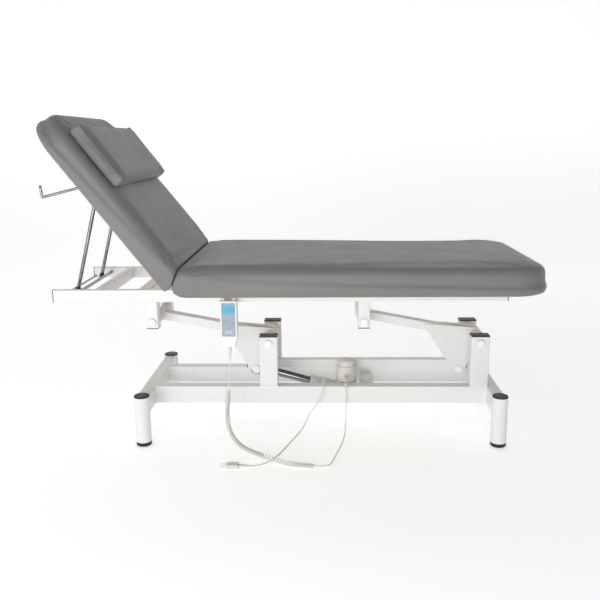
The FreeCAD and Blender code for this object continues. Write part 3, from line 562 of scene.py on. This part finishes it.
def seam(name, obj, points, body, radius=0.0011, closed=True, proud=0.0004):
    """A stitched seam that follows a cushion's surface, as a raised welt with threads beside it."""
    tree = BVHTree.FromPolygons([v.co for v in obj.data.vertices],
                                [tuple(p.vertices) for p in obj.data.polygons])
    places, outs = [], []
    for point in points:
        co, normal, _, _ = tree.find_nearest(Vector(point))
        places.append(co + normal * proud)
        outs.append(normal)
    welt = path_curve(name, places, radius, closed=closed, rings=2)
    finish_piece(welt, vinyl_mat, body)
    stitches(name + "_stitches", tree, places, outs, body)
    return welt


def stitches(name, tree, places, outs, body, gap=0.0055, length=0.0036, offset=0.0038):
    """Short threads in a row beside a seam."""
    verts, faces = [], []
    carry = 0.0
    for a, b, out in zip(places, places[1:], outs):
        run = (b - a).length
        if run < 1e-6:
            continue
        along = (b - a) / run
        across = out.cross(along).normalized()
        at = carry
        while at < run:
            middle = a + along * at + across * offset
            co, normal, _, _ = tree.find_nearest(middle)
            add_thread(verts, faces, co + normal * 0.0002, along, normal, length)
            at += gap
        carry = at - run
    return finish_piece(smooth(mesh_piece(name, verts, faces)), thread, body)


def add_thread(verts, faces, centre, along, out, length):
    across = along.cross(out).normalized()
    first = len(verts)
    rows = [(-0.5, 0.15), (-0.3, 0.9), (0.0, 1.0), (0.3, 0.9), (0.5, 0.15)]
    for at, size in rows:
        for k in range(6):
            turn = 2 * math.pi * k / 6
            verts.append(centre + along * at * length
                         + (across * math.cos(turn) + out * math.sin(turn)) * 0.0004 * size)
    for row in range(len(rows) - 1):
        for k in range(6):
            j = (k + 1) % 6
            a, b = first + row * 6, first + (row + 1) * 6
            faces.append((a + k, a + j, b + j, b + k))


def rounded_loop(x0, x1, half, z, radius_low, radius_high, step=0.006):
    """A level loop with rounded corners: radius_low at the x0 end and radius_high at the x1 end."""
    corners = [(x1, half, radius_high, 0), (x0, half, radius_low, 90),
               (x0, -half, radius_low, 180), (x1, -half, radius_high, 270)]
    outline = []
    for x, y, radius, start in corners:
        cx = x - math.copysign(radius, x - (x0 + x1) / 2)
        cy = y - math.copysign(radius, y)
        for k in range(13):
            angle = math.radians(start + 90 * k / 12)
            outline.append(Vector((cx + radius * math.cos(angle), cy + radius * math.sin(angle), z)))
    dense = []
    for a, b in zip(outline, outline[1:] + outline[:1]):
        parts = max(1, int((b - a).length / step))
        dense += [a + (b - a) * k / parts for k in range(parts)]
    return dense


def make_upholstery():
    seat = stuffed("seat_cover", "seat_cushion", "bed", 0.006, seat_free, 0.005)
    seat_low, seat_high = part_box("seat_cushion")
    half = seat_high[1]
    loop = rounded_loop(seat_low[0] + 0.03, seat_high[0] - 0.014, half - 0.014, seat_low[2], 0.01, 0.1)
    seam("seat_hem", seat, loop, "bed")
    for side in (-1, 1):
        line = corner_line(seat_high[0], side * half, CORNER_R, seat_low[2] + 0.004, seat_high[2] - 0.012, 1)
        seam("seat_corner_seam_" + side_name(side), seat, line, "bed", closed=False)
    back = stuffed("backrest_cover", "backrest_cushion", "backrest", 0.006, back_free, 0.005)
    head = BACK_END - BACK_LENGTH
    loop = rounded_loop(head + 0.014, BACK_END - 0.01, half - 0.014, BACK_LOW, 0.1, 0.01)
    seam("backrest_hem", back, [from_back(p) for p in loop], "backrest")
    for side in (-1, 1):
        line = corner_line(head, side * half, CORNER_R, BACK_LOW + 0.004, BACK_LOW + 0.068, -1)
        seam("backrest_corner_seam_" + side_name(side), back,
             [from_back(p) for p in line], "backrest", closed=False)
    pillow = stuffed("pillow_cover", "pillow", "backrest", 0.0045, pillow_free, 0.006, 3.0)
    low, high = head + PILLOW_FROM_END, head + PILLOW_FROM_END + PILLOW_LENGTH
    for name, level in (("top", PILLOW_TOP), ("bottom", PILLOW_BOTTOM)):
        loop = rounded_loop(low + 0.001, high - 0.001, PILLOW_HALF - 0.001, BACK_LOW + level,
                            0.009, 0.009, 0.004)
        seam("pillow_seam_" + name, pillow, [from_back(p) for p in loop], "backrest", 0.0013)


def corner_line(x, y, radius, z0, z1, end):
    """A line up the middle of a rounded corner."""
    reach = radius * (1 - math.sqrt(0.5))
    place = Vector((x - end * reach, y - math.copysign(reach, y), 0))
    return [place + Vector((0, 0, z0 + (z1 - z0) * k / 16)) for k in range(17)]


# ---------------------------------------------------------------- handset and actuator details

def plate(name, x0, x1, z0, z1, y, thick, radius, material, body):
    """A thin rounded plate facing -Y."""
    outline = []
    for cx, cz, start in ((x1 - radius, z1 - radius, 0), (x0 + radius, z1 - radius, 90),
                          (x0 + radius, z0 + radius, 180), (x1 - radius, z0 + radius, 270)):
        for k in range(9):
            angle = math.radians(start + 90 * k / 8)
            outline.append((cx + radius * math.cos(angle), cz + radius * math.sin(angle)))
    count = len(outline)
    verts = [(x, y, z) for x, z in outline] + [(x, y + thick, z) for x, z in outline]
    faces = [tuple(range(count))[::-1], tuple(range(count, 2 * count))]
    faces += [(i, (i + 1) % count, count + (i + 1) % count, count + i) for i in range(count)]
    return finish_piece(mesh_piece(name, verts, faces), material, body)


def make_handset():
    low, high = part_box("handset_body")
    middle = (low[0] + high[0]) / 2
    face = low[1]
    plate("handset_panel", middle - 0.0215, middle + 0.0215, low[2] + 0.034, high[2] - 0.011, face - 0.00012,
          0.001, 0.004, panel_mat, "handset")
    plate("handset_strip", middle - 0.0205, middle + 0.0205, low[2] + 0.106, high[2] - 0.017, face - 0.0002,
          0.001, 0.003, strip_mat, "handset")
    for k in range(3):
        plate("handset_line_%d" % k, middle - 0.012, middle + 0.012, low[2] + 0.044 + k * 0.004,
              low[2] + 0.0452 + k * 0.004, face - 0.00018, 0.001, 0.0005, shell, "handset")
    strain_relief("handset_strain_relief", (middle, LEAD_ROUTE[0][1], low[2] + 0.001), (0, 0, -1), 0.038,
                  0.0062, 0.0031, "handset")
    seam_y = low[1] + 0.013
    groove = [Vector((x, seam_y, z)) for x, z in
              ((middle - 0.0271, high[2] - 0.01), (middle - 0.0271, low[2] + 0.031),
               (middle - 0.0192, low[2] + 0.0015))]
    for side in (0, 1):
        line = [p if side == 0 else Vector((2 * middle - p.x, p.y, p.z)) for p in groove]
        parting = path_curve("handset_parting_line_%d" % side, line, 0.0004)
        finish_piece(parting, dark, "handset")


def ring(name, centre, direction, radius, thick, material, body, slot, steps=64):
    side, up = axes_for(Vector(direction).normalized())
    angles = [2 * math.pi * k / steps for k in range(steps)]
    points = [Vector(centre) + (side * math.cos(a) + up * math.sin(a)) * radius for a in angles]
    return finish_piece(path_curve(name, points, thick, closed=True, rings=3), material, body)


def make_actuator():
    for name, z in (("low", 0.1455), ("high", 0.2)):
        radius = 0.038 - 0.008 * (z - 0.13) / 0.092 - 0.0001
        ring("motor_joint_" + name, MOTOR_AT + Vector((0, 0, z)), (0, 0, 1), radius, 0.0006, dark, "actuator",
             "actuator_plastic")
    axis = (REAR_PIN - CRANK_PIN).normalized()
    for k in range(5):
        place = CRANK_PIN + axis * (0.198 + 0.006 * k)
        ring("nose_rib_%d" % k, place, axis, 0.0211, 0.0009, nylon, "actuator", "nylon")
    ring("wiper_seal", CRANK_PIN + axis * 0.1913, axis, 0.0152, 0.0013, rubber_mat, "actuator", "rubber")
    ring("eye_bush", CRANK_PIN, (0, 1, 0), 0.0122, 0.0041, nylon, "head_arm", "nylon")
    socket = Vector(TAIL_ROUTE[-1])
    outward = Vector(TAIL_ROUTE[-2]) - socket
    strain_relief("housing_relief_handset", socket, outward, 0.022, 0.0055, 0.0028, "base")
    socket = Vector(MAINS_ROUTE[0])
    outward = Vector(MAINS_ROUTE[1]) - socket
    strain_relief("housing_relief_mains", socket, outward, 0.022, 0.0058, 0.0034, "base")
    for k in range(3):
        angle = math.radians(-150 + 60 * k)
        place = MOTOR_AT + Vector((math.cos(angle) * 0.0365, math.sin(angle) * 0.0365, 0.1375))
        outward = Vector((math.cos(angle), math.sin(angle), 0.15))
        profile = [(0, 0.003), (0.0015, 0.003), (0.002, 0.0022)]
        finish_piece(turned("motor_screw_%d" % k, place, outward, profile, 20), zinc_mat, "actuator")


# ---------------------------------------------------------------- fasteners, welds and tips

def bolt_washers(node, body):
    """Thin washers behind the round bolt heads of a node."""
    low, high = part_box(node)
    xs = (low[0] + 0.0131, high[0] - 0.0131)
    z_by_x = {xs[0]: high[2] - 0.013, xs[1]: high[2] - 0.013}
    for i, x in enumerate(xs):
        for side, y in ((-1, low[1]), (1, high[1])):
            name = "%s_washer_%d_%s" % (node, i, side_name(side))
            ring(name, (x, y - side * 0.0066, z_by_x[x]), (0, 1, 0), 0.0134, 0.0006, nylon, body, "frame")


def weld(name, corners, body, radius=0.0016):
    """A weld bead of overlapping ripples along a run of corners."""
    verts, faces = [], []
    steps = 8
    for a, b in zip(corners, corners[1:] + corners[:1]):
        a, b = Vector(a), Vector(b)
        heading = (b - a).normalized()
        side, up = axes_for(heading)
        count = max(8, int((b - a).length / 0.0011))
        first = len(verts)
        for i in range(count + 1):
            swell = radius * (0.86 + 0.14 * math.sin(i * 1.9))
            for k in range(steps):
                turn = 2 * math.pi * k / steps
                verts.append(a + (b - a) * i / count + (side * math.cos(turn) + up * math.sin(turn)) * swell)
        for i in range(count):
            for k in range(steps):
                j = (k + 1) % steps
                faces.append((first + i * steps + k, first + i * steps + j,
                              first + (i + 1) * steps + j, first + (i + 1) * steps + k))
    return finish_piece(smooth(mesh_piece(name, verts, faces)), powder, body)


def rectangle(x0, x1, y0, y1, z):
    return [(x0, y0, z), (x1, y0, z), (x1, y1, z), (x0, y1, z)]


def upright_rectangle(y0, y1, z0, z1, x):
    return [(x, y0, z0), (x, y1, z0), (x, y1, z1), (x, y0, z1)]


def make_welds():
    low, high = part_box("uprights")
    for i, x in enumerate((low[0] + TUBE_HALF_X, high[0] - TUBE_HALF_X)):
        for side in (-1, 1):
            name = "upright_weld_%d_%s" % (i, side_name(side))
            y = side * RAIL_Y
            outline = rectangle(x - TUBE_HALF_X, x + TUBE_HALF_X, y - TUBE_HALF_Y, y + TUBE_HALF_Y, low[2])
            weld(name, outline, "base")
    rail_low, rail_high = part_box("base_rail_near")
    for i, x in enumerate((rail_low[0], rail_high[0])):
        for side in (-1, 1):
            name = "rail_weld_%d_%s" % (i, side_name(side))
            y = side * RAIL_Y
            outline = upright_rectangle(y - TUBE_HALF_Y, y + TUBE_HALF_Y, rail_low[2], rail_high[2], x)
            weld(name, outline, "base")
    plates_low, plates_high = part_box("bed_brackets")
    for i, x in enumerate((plates_low[0] + BRACKET_HALF_X, plates_high[0] - BRACKET_HALF_X)):
        for side in (-1, 1):
            name = "bracket_weld_%d_%s" % (i, side_name(side))
            y = side * RAIL_Y
            outline = rectangle(x - BRACKET_HALF_X, x + BRACKET_HALF_X, y - TUBE_HALF_Y, y + TUBE_HALF_Y,
                                plates_high[2])
            weld(name, outline, "bed")
    post_low, post_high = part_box("base_end_tube_head")
    foot_low, foot_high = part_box("base_end_tube_foot")
    for i, x in enumerate(((post_low[0] + post_high[0]) / 2, (foot_low[0] + foot_high[0]) / 2)):
        for side in (-1, 1):
            y = side * END_TUBE_WELD_Y
            run = [(x - TUBE_HALF_Y, y, post_high[2]), (x + TUBE_HALF_Y, y, post_high[2])]
            weld("post_weld_%d_%s" % (i, side_name(side)), run, "base")
    for arm in ("head_arm", "foot_arm"):
        low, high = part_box(arm + "_cross_tubes")
        for name, x, z in (("base", high[0] - 0.02, low[2] + 0.02), ("bed", low[0] + 0.02, high[2] - 0.02)):
            for side in (-1, 1):
                ring("%s_%s_weld_%s" % (arm, name, side_name(side)), (x, side * 0.021, z), (0, 1, 0),
                     0.0206, 0.0014, powder, arm, "frame")


def make_prop_tips():
    down = (PROP_FOOT - PROP_TOP).normalized()
    profile = [(0, 0.0068), (0.001, 0.0078), (0.016, 0.0078), (0.019, 0.0066), (0.0198, 0.003)]
    for side in (-1, 1):
        place = PROP_FOOT - down * 0.018 + Vector((0, side * PROP_Y, 0))
        tip = turned("prop_tip_" + side_name(side), place, down, profile, 32)
        finish_piece(tip, rubber_mat, "props")


def make_hook_tips():
    profile = [(0, 0.0043), (0.0015, 0.0046), (0.004, 0.0042), (0.005, 0.0022)]
    for side in (-1, 1):
        place = HOOK_TIP + Vector((0, side * HOOK_Y, 0))
        tip = turned("hook_tip_" + side_name(side), place, (-0.09, 0, 1), profile, 24)
        finish_piece(tip, black, "backrest")


# ---------------------------------------------------------------- studio

def make_stage():
    """A pale floor that sweeps up into a backdrop."""
    rows = [(-5.0, 0.0), (2.6, 0.0)]
    for angle in range(10, 91, 10):
        turn = math.radians(angle)
        rows.append((2.6 + 1.2 * math.sin(turn), 1.2 - 1.2 * math.cos(turn)))
    rows.append((3.8, 6.0))
    verts = [(x, y, z - 0.0003) for y, z in rows for x in (-8.0, 8.0)]
    faces = [(2 * i, 2 * i + 1, 2 * i + 3, 2 * i + 2) for i in range(len(rows) - 1)]
    backdrop = smooth(mesh_piece("backdrop", verts, faces))
    mat, tree, shader = new_material("studio_floor", (0.93, 0.93, 0.93), 0.75)
    tint(tree, shader, noise(tree, 2.0), (0.925, 0.925, 0.925), (0.935, 0.935, 0.935))
    shader.inputs["Emission Color"].default_value = (1.0, 1.0, 1.0, 1.0)
    shader.inputs["Emission Strength"].default_value = 0.42
    backdrop.data.materials.append(mat)


def area_light(name, place, target, size, power):
    data = bpy.data.lights.new(name, "AREA")
    data.shape = "RECTANGLE"
    data.size, data.size_y = size
    data.energy = power
    light = link(name, data)
    light.location = place
    light.rotation_euler = (Vector(target) - Vector(place)).to_track_quat("-Z", "Y").to_euler()


def make_lights():
    area_light("front_softbox", (-0.9, -3.8, 0.85), (0, 0, 0.55), (3.2, 1.6), 84.0)
    area_light("top_softbox", (-0.6, -0.6, 3.2), (0, 0, 0.3), (2.4, 1.6), 2.0)
    area_light("left_softbox", (-3.4, -0.8, 1.2), (0, 0, 0.6), (1.6, 1.8), 16.0)
    world = bpy.data.worlds.new("studio")
    scene.world = world
    world.use_nodes = True
    background = world.node_tree.nodes["Background"]
    background.inputs["Color"].default_value = (1.0, 1.0, 1.0, 1.0)
    background.inputs["Strength"].default_value = 0.28
    scene.view_settings.view_transform = "Standard"


make_camera()
make_cords()
dress_cad_nodes()
make_upholstery()
make_handset()
make_actuator()
bolt_washers("base_pivot_bolts", "base")
bolt_washers("bed_pivot_bolts", "bed")
make_welds()
make_prop_tips()
make_hook_tips()
make_stage()
make_lights()
